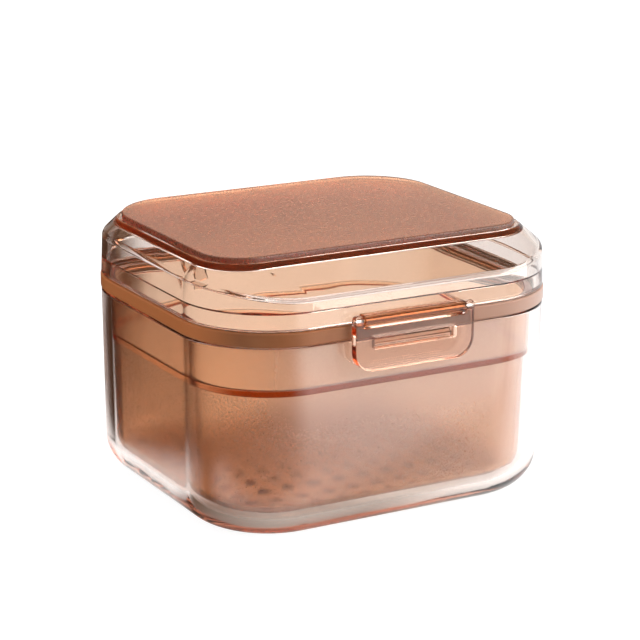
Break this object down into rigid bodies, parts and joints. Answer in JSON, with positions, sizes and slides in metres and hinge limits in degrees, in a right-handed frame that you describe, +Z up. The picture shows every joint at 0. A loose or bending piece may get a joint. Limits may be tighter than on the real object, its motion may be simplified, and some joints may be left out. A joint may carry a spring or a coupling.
{
  "type": "orthodontic organizer",
  "caption": "Clear tinted case with a lift-out strainer basket, a bevelled hinged lid and a front latch, for keeping or soaking a retainer or denture.",
  "frame": {"origin": "on the surface the closed case stands on, in the middle of its bounding box", "axes": "+X to the right when facing the latch, -Y out of the front that carries the latch, +Z up"},
  "size_m": [0.0984, 0.095, 0.0676],
  "materials": {
    "clear_plastic": "clear rose tint, polished",
    "frosted_plastic": "frosted rose tint",
    "soft_silicone": "satin",
    "pin_steel": "drawn wire"
  },
  "bodies": {
    "box": {"outer_box": "clear_plastic", "seal_band": "soft_silicone", "hinge_pin": "pin_steel"},
    "basket": {"strainer_basket": "frosted_plastic"},
    "lid": {"lid_shell": "clear_plastic", "lid_top_panel": "frosted_plastic", "latch_pin": "pin_steel"},
    "latch": {"front_latch": "clear_plastic"}
  },
  "joints": [
    {"name": "lid_open", "type": "hinge", "parent": "box", "child": "lid", "pos_m": [0, 0.0451, 0.05245], "axis": [-1, 0, 0], "range_deg": [0, 110]},
    {"name": "latch_swing", "type": "hinge", "parent": "lid", "child": "latch", "pos_m": [0, -0.0461, 0.0534], "axis": [-1, 0, 0], "range_deg": [0, 100]},
    {"name": "basket_lift", "type": "slide", "parent": "box", "child": "basket", "axis": [0, 0, 1], "range_m": [0, 0.006]}
  ]
}
